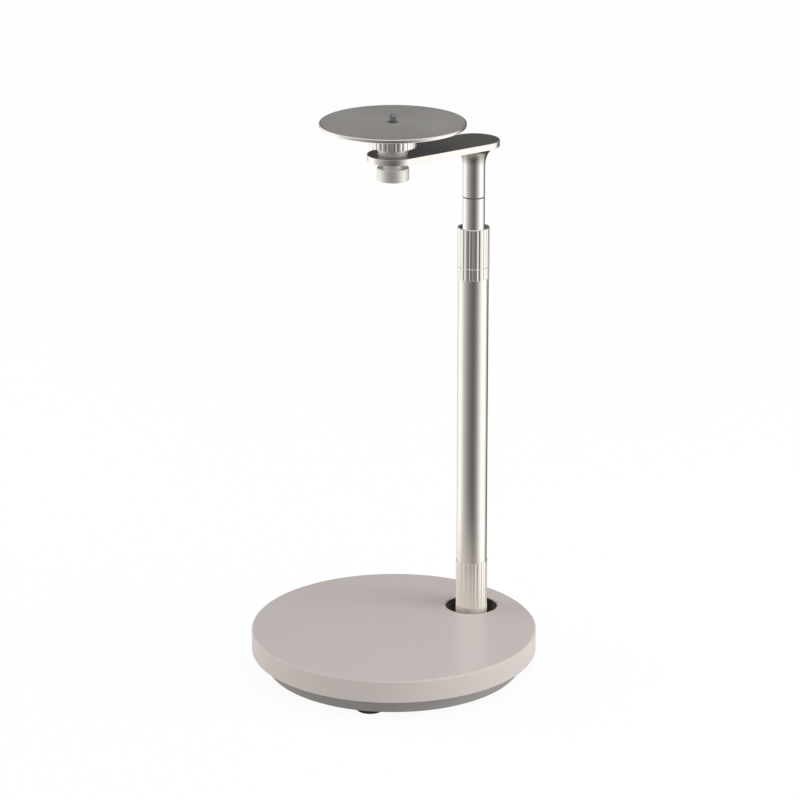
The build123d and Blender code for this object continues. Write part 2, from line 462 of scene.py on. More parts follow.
def fluted_ring(name: str, span: RoundSpan, flutes: Fluting, edge: float) -> bpy.types.Object:
    """Model a ring with grooves all round its outside.

    Args:
        name: Name of the new piece.
        span: Reach of the ring, with its crest radius outside.
        flutes: The grooves.
        edge: Rounding of its edges.

    Returns:
        The ring.
    """
    deselect_all()
    count = flutes.count * flutes.steps
    centre = (*span.axis, span.bottom)
    bpy.ops.mesh.primitive_circle_add(vertices=count, radius=span.outer, location=centre)
    ring = settle(name)
    for phase in range(flutes.half_width):
        pick(ring, Pick.VERTS, lambda place, phase=phase: flutes.phase(place, span.axis) == phase)
        shrink = 1 - flutes.sink(phase) / span.outer
        bpy.ops.transform.resize(value=(shrink, shrink, 1), center_override=centre)
    bpy.ops.mesh.primitive_circle_add(vertices=count, radius=span.inner, location=centre)
    bpy.ops.mesh.select_all(action="SELECT")
    bpy.ops.mesh.bridge_edge_loops()
    bpy.ops.mesh.select_all(action="SELECT")
    bpy.ops.mesh.extrude_region_move(TRANSFORM_OT_translate={"value": (0, 0, span.height)})
    close_skin()
    ring = settle(name)
    round_edges(ring, edge)
    return ring


class NodeDesk:
    """Small helper that adds and links the nodes of one tree."""

    colour_inputs: ClassVar[tuple[int, int]] = (6, 7)
    colour_output: ClassVar[int] = 2

    def __init__(self, tree: bpy.types.NodeTree) -> None:
        """Keep the tree of a material, group or world that nodes are added to."""
        self.tree = tree

    def fill(self, node: bpy.types.Node, inputs: dict[str | int, object]) -> None:
        """Set or link the inputs of a node.

        Args:
            node: The node.
            inputs: Value or output socket for each named or numbered input.
        """
        for key, value in inputs.items():
            if isinstance(value, bpy.types.NodeSocket):
                self.tree.links.new(value, node.inputs[key])
            else:
                node.inputs[key].default_value = value

    def add(self, kind: str, inputs: dict[str | int, object] | None = None,
            **settings: object) -> bpy.types.Node:
        """Add a node, set it up, and fill or link its inputs.

        Args:
            kind: Type of the node without the leading "ShaderNode".
            inputs: Value or output socket for each named or numbered input.
            settings: Values set on the node itself.

        Returns:
            The new node.
        """
        node = self.tree.nodes.new(f"ShaderNode{kind}")
        for setting, value in settings.items():
            setattr(node, setting, value)
        self.fill(node, inputs or {})
        return node

    def math(self, operation: str, first: object, second: object = 0.0) -> bpy.types.NodeSocket:
        """Add a Math node and give its result."""
        return self.add("Math", {0: first, 1: second}, operation=operation).outputs[0]

    def spread(self, value: bpy.types.NodeSocket, low: float, high: float) -> bpy.types.NodeSocket:
        """Stretch a value between 0 and 1 to the span from low to high."""
        node = self.add("MapRange", {"Value": value, "To Min": low, "To Max": high})
        return node.outputs["Result"]

    def tint(self, factor: bpy.types.NodeSocket, low: Colour | bpy.types.NodeSocket,
             high: Colour | bpy.types.NodeSocket) -> bpy.types.NodeSocket:
        """Mix two colours by a factor.

        Args:
            factor: Socket with the share of the second colour.
            low: Colour, or socket with the colour, at 0.
            high: Colour, or socket with the colour, at 1.

        Returns:
            The mixed colour.
        """
        node = self.add("Mix", {"Factor": factor}, data_type="RGBA")
        ends = [end if isinstance(end, bpy.types.NodeSocket) else (*end, 1) for end in (low, high)]
        self.fill(node, dict(zip(self.colour_inputs, ends)))
        return node.outputs[self.colour_output]

    def ease(self, value: bpy.types.NodeSocket, start: float, end: float) -> bpy.types.NodeSocket:
        """Rise softly from 0 to 1 as a value goes from start to end."""
        node = self.add(
            "MapRange", {"Value": value, "From Min": start, "From Max": end}, interpolation_type="SMOOTHSTEP")
        return node.outputs["Result"]


class Effect(Enum):
    """Surface effects that several finishes share."""

    GRAIN = "surface_grain"
    TURNING = "turning_marks"
    HAZE = "handling_haze"


def effect_group(effect: Effect) -> bpy.types.NodeTree:
    """Get the node group of a shared effect, built on first use.

    Args:
        effect: The effect.

    Returns:
        The group.
    """
    if effect.value in bpy.data.node_groups:
        return bpy.data.node_groups[effect.value]
    tree = bpy.data.node_groups.new(effect.value, "ShaderNodeTree")
    builders = {Effect.GRAIN: grain_group, Effect.TURNING: turning_group, Effect.HAZE: haze_group}
    builders[effect](tree)
    return tree


def open_group(
        tree: bpy.types.NodeTree, inputs: Iterable[str], outputs: Iterable[str],
) -> tuple[NodeDesk, bpy.types.Node, bpy.types.Node]:
    """Give a group its sockets.

    Args:
        tree: The empty group.
        inputs: Names of the number inputs that follow the Vector input.
        outputs: Names of the number outputs.

    Returns:
        A desk on the group, its input node and its output node.
    """
    tree.interface.new_socket("Vector", in_out="INPUT", socket_type="NodeSocketVector")
    for name in inputs:
        tree.interface.new_socket(name, in_out="INPUT", socket_type="NodeSocketFloat")
    for name in outputs:
        tree.interface.new_socket(name, in_out="OUTPUT", socket_type="NodeSocketFloat")
    return NodeDesk(tree), tree.nodes.new("NodeGroupInput"), tree.nodes.new("NodeGroupOutput")


def grain_group(tree: bpy.types.NodeTree) -> None:
    """Fill the group of an even fine grain, as of powder paint or moulded plastic.

    Args:
        tree: The empty group.
    """
    desk, entry, leave = open_group(tree, ["Scale", "Detail"], ["Fine", "Broad"])
    fine = desk.add("TexNoise", {
        "Vector": entry.outputs["Vector"], "Scale": entry.outputs["Scale"],
        "Detail": entry.outputs["Detail"]})
    coarse = desk.math("MULTIPLY", entry.outputs["Scale"], BROAD_GRAIN)
    broad = desk.add("TexNoise", {"Vector": entry.outputs["Vector"], "Scale": coarse, "Detail": 2.0})
    tree.links.new(fine.outputs["Fac"], leave.inputs["Fine"])
    tree.links.new(broad.outputs["Fac"], leave.inputs["Broad"])


def turning_group(tree: bpy.types.NodeTree) -> None:
    """Fill the group of fine lathe lines round an upright axis.

    Args:
        tree: The empty group.
    """
    desk, entry, leave = open_group(tree, ["Lines"], ["Line", "Band"])
    parts = desk.add("SeparateXYZ", {"Vector": entry.outputs["Vector"]})
    flat = desk.add("CombineXYZ", {"X": parts.outputs["X"], "Y": parts.outputs["Y"]})
    radius = desk.add("VectorMath", {0: flat.outputs[0]}, operation="LENGTH").outputs["Value"]
    along = desk.math("ADD", radius, parts.outputs["Z"])
    line = desk.add("TexNoise", {
        "W": along, "Scale": entry.outputs["Lines"], "Detail": 3.0, "Roughness": 0.7},
        noise_dimensions="1D")
    coarse = desk.math("MULTIPLY", entry.outputs["Lines"], BROAD_LINE)
    band = desk.add("TexNoise", {"W": along, "Scale": coarse, "Detail": 1.0}, noise_dimensions="1D")
    tree.links.new(line.outputs["Fac"], leave.inputs["Line"])
    tree.links.new(band.outputs["Fac"], leave.inputs["Band"])


def haze_group(tree: bpy.types.NodeTree) -> None:
    """Fill the group of the soft patches that hands leave on a surface.

    Args:
        tree: The empty group.
    """
    desk, entry, leave = open_group(tree, ["Scale"], ["Patch"])
    noise = desk.add("TexNoise", {
        "Vector": entry.outputs["Vector"], "Scale": entry.outputs["Scale"],
        "Detail": 5.0, "Roughness": 0.6, "Distortion": 0.4})
    tree.links.new(desk.ease(noise.outputs["Fac"], *PATCH_RISE), leave.inputs["Patch"])


@dataclass(frozen=True)
class Finish:
    """A surface finish of the stand: the slot it stands for, the span of its colour and its roughness."""

    name: str
    slot: Slot
    low: Colour
    high: Colour
    roughness: Point2

    def material(self) -> bpy.types.Material:
        """Get the finish's material, built on first use.

        Returns:
            The material.
        """
        label = f"{self.name}_finish"
        if label in bpy.data.materials:
            return bpy.data.materials[label]
        material = bpy.data.materials.new(label)
        material.use_nodes = True
        desk = NodeDesk(material.node_tree)
        shader = material.node_tree.nodes["Principled BSDF"]
        self.wire(desk, shader)
        return material

    def wire(self, desk: NodeDesk, shader: bpy.types.Node) -> None:
        """Fill in the finish's nodes; each kind of finish has its own."""
        raise NotImplementedError

    def coordinates(self, desk: NodeDesk, centre: Point2 = (0.0, 0.0)) -> bpy.types.NodeSocket:
        """Give Object coordinates about an upright axis.

        Args:
            desk: Desk on the material.
            centre: X and Y that the pattern is centred on.

        Returns:
            The coordinates.
        """
        source = desk.add("TexCoord").outputs["Object"]
        place = (-centre[0], -centre[1], 0)
        return desk.add("Mapping", {"Vector": source, "Location": place}).outputs["Vector"]

    def effect(self, desk: NodeDesk, effect: Effect, **inputs: object) -> bpy.types.Node:
        """Place a shared effect in the finish.

        Args:
            desk: Desk on the material.
            effect: The effect.
            inputs: Value or socket for each of its inputs.

        Returns:
            The group node.
        """
        node = desk.tree.nodes.new("ShaderNodeGroup")
        node.node_tree = effect_group(effect)
        desk.fill(node, inputs)
        return node

    def wear_patches(self, desk: NodeDesk, shader: bpy.types.Node, place: bpy.types.NodeSocket,
                     scale: float) -> None:
        """Let the shader's roughness vary in soft patches of the given scale."""
        haze = self.effect(desk, Effect.HAZE, Vector=place, Scale=scale)
        desk.fill(shader, {"Roughness": desk.spread(haze.outputs["Patch"], *self.roughness)})

    def relief(self, desk: NodeDesk, shader: bpy.types.Node, height: bpy.types.NodeSocket,
               strength: float, depth: float) -> None:
        """Give the surface a fine relief, whose full height is the depth in metres."""
        bump = desk.add("Bump", {"Height": height, "Strength": strength, "Distance": depth})
        desk.fill(shader, {"Normal": bump.outputs["Normal"]})


@dataclass(frozen=True)
class Coating(Finish):
    """Powder paint or moulded plastic: an even colour with a fine grain."""

    grain: float = 2600.0
    detail: float = 3.0
    haze: float = 38.0
    relief_depth: float = 0.00004
    relief_strength: float = 0.25
    specular: float = 0.5

    def wire(self, desk: NodeDesk, shader: bpy.types.Node) -> None:
        """Fill in the coating's nodes.

        Args:
            desk: Desk on the material.
            shader: The material's Principled BSDF.
        """
        place = self.coordinates(desk)
        grain = self.effect(desk, Effect.GRAIN, Vector=place, Scale=self.grain, Detail=self.detail)
        desk.fill(shader, {
            "Base Color": desk.tint(grain.outputs["Broad"], self.low, self.high),
            "Specular IOR Level": self.specular})
        self.wear_patches(desk, shader, place, self.haze)
        if self.relief_strength > 0:
            self.relief(desk, shader, grain.outputs["Fine"], self.relief_strength, self.relief_depth)


@dataclass(frozen=True)
class TurnedMetal(Finish):
    """Metal with fine lathe lines round an upright axis."""

    axis: Point2
    lines: float = 1500.0
    haze: float = 45.0
    relief_depth: float = 0.00002
    relief_strength: float = 0.12

    def wire(self, desk: NodeDesk, shader: bpy.types.Node) -> None:
        """Fill in the metal's nodes.

        Args:
            desk: Desk on the material.
            shader: The material's Principled BSDF.
        """
        place = self.coordinates(desk, self.axis)
        turning = self.effect(desk, Effect.TURNING, Vector=place, Lines=self.lines)
        desk.fill(shader, {
            "Base Color": self.colour(desk, place, turning.outputs["Band"]), "Metallic": 1.0})
        self.wear_patches(desk, shader, place, self.haze)
        self.relief(desk, shader, turning.outputs["Line"], self.relief_strength, self.relief_depth)

    def colour(self, desk: NodeDesk, place: bpy.types.NodeSocket,
               band: bpy.types.NodeSocket) -> bpy.types.NodeSocket:
        """Give the metal's colour, which follows the broad bands of the turning."""
        return desk.tint(band, self.low, self.high)


@dataclass(frozen=True)
class CastMetalWithPaintedShade(TurnedMetal):
    """Turned metal with painted shade in the fillet under the arm's plate, which darkens its colour there."""

    fillet: Point2 = (0.0, 0.0)
    fillet_rise: float = 0.6
    fillet_edge: float = 0.0003
    # Colour of the painted shade in the fillet.
    fillet_shade_colour: Colour = (0.40, 0.385, 0.37)

    def colour(self, desk: NodeDesk, place: bpy.types.NodeSocket,
               band: bpy.types.NodeSocket) -> bpy.types.NodeSocket:
        """Give the metal's colour, with painted shade in the fillet.

        Args:
            desk: Desk on the material.
            place: Coordinates about the metal's axis.
            band: Socket with the broad bands of the turning.

        Returns:
            The colour.
        """
        level = desk.add("SeparateXYZ", {"Vector": place}).outputs["Z"]
        low, top = self.fillet
        rise = desk.ease(level, low, low + (top - low) * self.fillet_rise)
        end = desk.spread(desk.ease(level, top - 2 * self.fillet_edge, top - self.fillet_edge), 1.0, 0.0)
        # Painted shade: the colour darkens towards the fillet's shade colour between the fillet's levels.
        shade_mask = desk.math("MULTIPLY", rise, end)
        return desk.tint(shade_mask, super().colour(desk, place, band), self.fillet_shade_colour)


@dataclass(frozen=True)
class SpunPad(Finish):
    """Satin grip surface with fine rings that spread the light along their run."""

    metallic: float = 0.5
    anisotropy: float = 0.6
    lines: float = 900.0
    haze: float = 30.0
    relief_depth: float = 0.00002
    relief_strength: float = 0.2

    def wire(self, desk: NodeDesk, shader: bpy.types.Node) -> None:
        """Fill in the pad's nodes.

        Args:
            desk: Desk on the material.
            shader: The material's Principled BSDF.
        """
        place = self.coordinates(desk, TRAY_AXIS)
        turning = self.effect(desk, Effect.TURNING, Vector=place, Lines=self.lines)
        tangent = desk.add("Tangent", direction_type="RADIAL", axis="Z")
        desk.fill(shader, {
            "Base Color": desk.tint(turning.outputs["Band"], self.low, self.high),
            "Tangent": tangent.outputs["Tangent"],
            "Metallic": self.metallic, "Anisotropic": self.anisotropy})
        self.wear_patches(desk, shader, place, self.haze)
        self.relief(desk, shader, turning.outputs["Line"], self.relief_strength, self.relief_depth)


COLUMN_AXIS = axis_of("outer_tube")
TRAY_AXIS = axis_of("tray_disc")

SATIN_LOW: Colour = (0.90, 0.885, 0.86)
SATIN_HIGH: Colour = (0.94, 0.925, 0.90)
SATIN_ROUGHNESS: Point2 = (0.17, 0.21)
BRIGHT_LOW: Colour = (0.92, 0.905, 0.88)
BRIGHT_HIGH: Colour = (0.95, 0.935, 0.91)
BRIGHT_ROUGHNESS: Point2 = (0.09, 0.13)

COVER_PAINT = Coating(
    "cover_paint", Slot.COVER_PAINT, (0.508, 0.462, 0.442), (0.518, 0.472, 0.452), (0.30, 0.33),
    grain=600.0, relief_strength=0.0, specular=0.58)
PLINTH_PLASTIC = Coating(
    "plinth_plastic", Slot.PLINTH_PLASTIC, (0.275, 0.267, 0.259), (0.305, 0.297, 0.289), (0.5, 0.6),
    grain=1800.0, relief_strength=0.4)
INLAY_DARK = Coating(
    "inlay_dark", Slot.INLAY_DARK, (0.062, 0.058, 0.053), (0.072, 0.068, 0.063), (0.09, 0.14),
    relief_strength=0.05, specular=0.6)
BLACK_PLASTIC = Coating(
    "black_plastic", Slot.BLACK_PLASTIC, (0.0125, 0.0085, 0.0065), (0.0185, 0.0125, 0.0095),
    (0.42, 0.5), specular=0.12)
FOOT_RUBBER = Coating(
    "foot_rubber", Slot.FOOT_RUBBER, (0.03, 0.03, 0.03), (0.04, 0.04, 0.04), (0.7, 0.8),
    grain=1500.0, relief_strength=0.5, specular=0.3)
WEIGHT_IRON = Coating(
    "weight_iron", Slot.WEIGHT_IRON, (0.10, 0.095, 0.09), (0.14, 0.13, 0.125), (0.6, 0.75),
    grain=900.0, relief_strength=0.6)
SATIN_COLUMN = TurnedMetal(
    "satin_alloy_column", Slot.SATIN_ALLOY, SATIN_LOW, SATIN_HIGH, SATIN_ROUGHNESS, COLUMN_AXIS)
SATIN_TRAY = TurnedMetal(
    "satin_alloy_tray", Slot.SATIN_ALLOY, SATIN_LOW, SATIN_HIGH, SATIN_ROUGHNESS, TRAY_AXIS)
BRIGHT_COLUMN = TurnedMetal(
    "bright_alloy_column", Slot.BRIGHT_ALLOY, BRIGHT_LOW, BRIGHT_HIGH, BRIGHT_ROUGHNESS, COLUMN_AXIS)
BRIGHT_TRAY = TurnedMetal(
    "bright_alloy_tray", Slot.BRIGHT_ALLOY, BRIGHT_LOW, BRIGHT_HIGH, BRIGHT_ROUGHNESS, TRAY_AXIS)
# Pale matte paint on the plain lower band of the alloy foot collar: a painted reflection of the base's top.
PALE_BAND_REFLECTION = Coating(
    "pale_band", Slot.BRIGHT_ALLOY, (0.74, 0.65, 0.58), (0.78, 0.69, 0.62), (0.4, 0.5))
KNOB_SATIN = TurnedMetal(
    "satin_alloy_knob", Slot.SATIN_ALLOY, SATIN_LOW, SATIN_HIGH, (0.46, 0.52), TRAY_AXIS)
PAD_GRIP = SpunPad(
    "pad_grip", Slot.PAD_GRIP, (0.34, 0.329, 0.318), (0.38, 0.369, 0.358), (0.38, 0.44))
BOLT_STEEL = TurnedMetal(
    "bolt_steel", Slot.BOLT_STEEL, (0.42, 0.42, 0.425), (0.5, 0.5, 0.505), (0.28, 0.36), TRAY_AXIS)

KEPT_NODES: dict[str, Finish] = {
    "base_weight": WEIGHT_IRON, "socket_liner": BLACK_PLASTIC, "column_plug": SATIN_COLUMN,
    "column_bolt": BOLT_STEEL, "guide_bush": BLACK_PLASTIC, "slide_foot": BLACK_PLASTIC,
    "swivel_pin": BOLT_STEEL, "swivel_washer": BLACK_PLASTIC,
}


def wear(item: bpy.types.Object, finish: Finish) -> None:
    """Give a piece its finish.

    Args:
        item: The piece.
        finish: The finish.
    """
    item.data.materials.clear()
    item.data.materials.append(finish.material())


@dataclass(frozen=True)
class Piece:
    """A modelled piece, its finish and the CAD nodes that it stands for."""

    item: bpy.types.Object
    finish: Finish
    nodes: tuple[str, ...]


@dataclass
class SubAssembly:
    """Pieces that ride on one body and are built and dressed together."""

    body: ClassVar[Body]
    mirrored: ClassVar[bool] = True
    pieces: list[Piece] = field(default_factory=list, init=False)

    def keep(self, item: bpy.types.Object, finish: Finish, *nodes: str) -> None:
        """Note a modelled piece for dressing, with its finish and the CAD nodes that it stands for."""
        self.pieces.append(Piece(item, finish, nodes))

    def build(self) -> None:
        """Model the pieces; each sub-assembly has its own."""
        raise NotImplementedError

    def dress(self) -> None:
        """Finish the pieces and let them ride on their body."""
        for piece in self.pieces:
            wear(piece.item, piece.finish)
            piece.item.visible_glossy = self.mirrored
            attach(piece.item, self.body.value)
            if piece.nodes:
                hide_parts(*piece.nodes)
            LOG.info("%s: %s, %d faces", self.body.value, piece.item.name, len(piece.item.data.polygons))


@dataclass
class WeightedBase(SubAssembly):
    """Painted cover, plinth, rubber feet and the screws under the plinth.

    The screw's flat, slot and rounding are shares of its radius and height.
    """

    body: ClassVar[Body] = Body.BASE
    mirrored: ClassVar[bool] = False
    cover_wall: float = 2.0 * MM
    cover_edge: float = 1.2 * MM
    cover_foot: float = 0.4 * MM
    cover_round: float = 0.3 * MM
    hole_edge: float = 1.1 * MM
    hole_play: float = 0.05 * MM
    plinth_wall: float = 2.5 * MM
    plinth_edge: float = 1.0 * MM
    plinth_round: float = 0.4 * MM
    foot_edge: float = 0.5 * MM
    foot_groove: float = 0.6 * MM
    foot_count: int = 4
    screw_count: int = 4
    screw_reach: float = 60.0 * MM
    screw_radius: float = 3.1 * MM
    screw_height: float = 1.7 * MM
    screw_flat: float = 0.6
    screw_round: float = 0.1
    slot_width: float = 0.28
    slot_length: float = 1.3
    slot_depth: float = 1.2

    def build(self) -> None:
        """Model the base from the cover down."""
        self.keep(self.cover(), COVER_PAINT, "base_cover")
        self.keep(self.plinth(), PLINTH_PLASTIC, "base_plinth")
        self.feet()
        self.screws()

    def cover(self) -> bpy.types.Object:
        """Model the cover: a shallow cup turned upside down, with the socket's hole.

        Returns:
            The cover.
        """
        span = span_of("base_cover", TRAY_AXIS)
        inside, ceiling = span.outer - self.cover_wall, span.top - self.cover_wall
        foot = self.cover_foot
        cover = lathe("cover_shell", [
            (0, span.top), (span.outer - self.cover_edge, span.top),
            (span.outer, span.top - self.cover_edge), (span.outer, span.bottom + foot),
            (span.outer - foot, span.bottom), (inside, span.bottom), (inside, ceiling), (0, ceiling),
        ], TRAY_AXIS, FINE_STEPS)
        flatten(cover)
        hole = span_of("socket_liner", COLUMN_AXIS).outer + self.hole_play
        above = span.top + self.cover_wall
        below = ceiling - self.cover_wall
        tool = lathe("socket_drill", [
            (0, below), (hole, below), (hole, span.top - self.hole_edge),
            (hole + self.hole_edge + self.cover_wall, above), (0, above),
        ], COLUMN_AXIS)
        combine(cover, tool, Joinery.CUT)
        round_edges(cover, self.cover_round)
        return cover

    def plinth(self) -> bpy.types.Object:
        """Model the pan that closes the base from below.

        Returns:
            The plinth.
        """
        span = span_of("base_plinth", TRAY_AXIS)
        wall = span_of("base_plinth", TRAY_AXIS, high=span.bottom + 2 * self.plinth_edge)
        flange = span_of("base_plinth", TRAY_AXIS, beyond=wall.outer + MM)
        inside, floor = wall.outer - self.plinth_wall, span.bottom + self.plinth_wall
        plinth = lathe("plinth_pan", [
            (0, span.bottom), (wall.outer - self.plinth_edge, span.bottom),
            (wall.outer, span.bottom + self.plinth_edge), (wall.outer, flange.bottom),
            (flange.outer, flange.bottom), (flange.outer, flange.top), (wall.outer, flange.top),
            (wall.outer, span.top), (inside, span.top), (inside, floor), (0, floor),
        ], TRAY_AXIS, FINE_STEPS)
        flatten(plinth)
        round_edges(plinth, self.plinth_round)
        return plinth

    def feet(self) -> None:
        """Model one rubber foot with grip rings underneath, and copy it to the others."""
        first = axis_of("foot_pad_1")
        span = span_of("foot_pad_1", first)
        ring, groove = span.outer / 3, self.foot_groove
        outline = [(0, span.bottom)]
        for radius in (ring, 2 * ring):
            outline += [
                (radius, span.bottom), (radius + groove / 2, span.bottom + groove),
                (radius + groove, span.bottom + groove), (radius + 1.5 * groove, span.bottom)]
        outline += [
            (span.outer - self.foot_edge, span.bottom), (span.outer, span.bottom + self.foot_edge),
            (span.outer, span.top), (0, span.top)]
        foot = lathe("rubber_foot_1", outline, first, SMALL_STEPS)
        round_edges(foot, self.foot_edge / 3, 2)
        self.keep(foot, FOOT_RUBBER, "foot_pad_1")
        for number in range(2, self.foot_count + 1):
            place = axis_of(f"foot_pad_{number}")
            copy = twin(foot, f"rubber_foot_{number}", (place[0] - first[0], place[1] - first[1]))
            self.keep(copy, FOOT_RUBBER, f"foot_pad_{number}")

    def screws(self) -> None:
        """Model one cross-head screw under the plinth, and copy it to the others."""
        top = span_of("base_plinth", TRAY_AXIS).bottom
        bottom = top - self.screw_height
        places = [
            (self.screw_reach * math.cos(angle), self.screw_reach * math.sin(angle))
            for angle in (math.tau * (step + 0.5) / self.screw_count for step in range(self.screw_count))]
        radius, height = self.screw_radius, self.screw_height
        screw = lathe("plinth_screw_1", [
            (0, bottom), (self.screw_flat * radius, bottom), (radius, bottom + self.screw_flat * height),
            (radius, top), (0, top),
        ], places[0], SMALL_STEPS // 2)
        across, along = self.slot_width * radius, self.slot_length * radius
        for size in ((across, along), (along, across)):
            deselect_all()
            bpy.ops.mesh.primitive_cube_add(size=1, location=(*places[0], bottom))
            bpy.ops.transform.resize(value=(*size, self.slot_depth * height))
            combine(screw, settle("cross_slot"), Joinery.CUT)
        round_edges(screw, self.screw_round * radius, 2)
        self.keep(screw, BOLT_STEEL)
        for number, place in enumerate(places[1:], start=2):
            shift = (place[0] - places[0][0], place[1] - places[0][1])
            self.keep(twin(screw, f"plinth_screw_{number}", shift), BOLT_STEEL)


@dataclass
class Column(SubAssembly):
    """Foot collar, outer tube and the fixed seat of the twist lock."""

    body: ClassVar[Body] = Body.BASE
    flutes: Fluting = Fluting(count=20)
    edge_round: float = 0.18 * MM
    foot_band: float = 1.0 * MM
    band_lap: float = 0.4 * MM
    band_stand: float = 0.02 * MM

    def build(self) -> None:
        """Model the column from the socket up."""
        span = span_of("foot_collar", COLUMN_AXIS)
        level = span_of("base_cover", TRAY_AXIS).top + self.foot_band
        grip_span = replace(span, bottom=level - self.band_lap)
        grip = fluted_ring("foot_grip", grip_span, self.flutes, self.edge_round)
        self.keep(grip, BRIGHT_COLUMN, "foot_collar")
        band_span = replace(span, outer=span.outer + self.band_stand, top=level)
        band = lathe("foot_band", ring_outline(band_span), COLUMN_AXIS)
        round_edges(band, self.edge_round)
        # The band's pale paint is a painted reflection of the base's top on the alloy collar.
        self.keep(band, PALE_BAND_REFLECTION)
        tube = plain_ring("column_tube", "outer_tube", COLUMN_AXIS, self.edge_round)
        self.keep(tube, SATIN_COLUMN, "outer_tube")
        seat_span = span_of("collar_seat", COLUMN_AXIS)
        seat = fluted_ring("lock_seat", seat_span, self.flutes, self.edge_round)
        self.keep(seat, BRIGHT_COLUMN, "collar_seat")


@dataclass
class TwistLock(SubAssembly):
    """Fluted collar that is twisted to lock the mast, with a thin black sheet of painted shade in its mouth.
    """

    body: ClassVar[Body] = Body.COLLAR
    mirrored: ClassVar[bool] = False
    flutes: Fluting = Fluting(count=20)
    edge_round: float = 0.18 * MM
    shade_sheet_wall: float = 0.12 * MM
    shade_sheet_room: float = 0.25 * MM

    def build(self) -> None:
        """Model the twist collar and the black sheet of painted shade between its lip and the guide bush."""
        span = span_of("lock_collar", COLUMN_AXIS)
        collar = fluted_ring("twist_collar", span, self.flutes, self.edge_round)
        self.keep(collar, BRIGHT_COLUMN, "lock_collar")
        # A black sheet inside the collar's bore, put there as painted shade in the mouth.
        shade_sheet_span = replace(
            span, inner=span.inner - self.shade_sheet_wall, outer=span.inner,
            bottom=span_of("guide_bush", COLUMN_AXIS).top + self.shade_sheet_room, top=span.top - self.shade_sheet_room)
        shade_sheet = lathe("mouth_lining", ring_outline(shade_sheet_span), COLUMN_AXIS)
        smooth(shade_sheet)
        self.keep(shade_sheet, BLACK_PLASTIC)


@dataclass
class Mast(SubAssembly):
    """Slim tube that slides in the column."""

    body: ClassVar[Body] = Body.MAST
    edge_round: float = 0.2 * MM

    def build(self) -> None:
        """Model the sliding tube."""
        tube = plain_ring("mast_tube", "inner_tube", COLUMN_AXIS, self.edge_round)
        self.keep(tube, SATIN_COLUMN, "inner_tube")


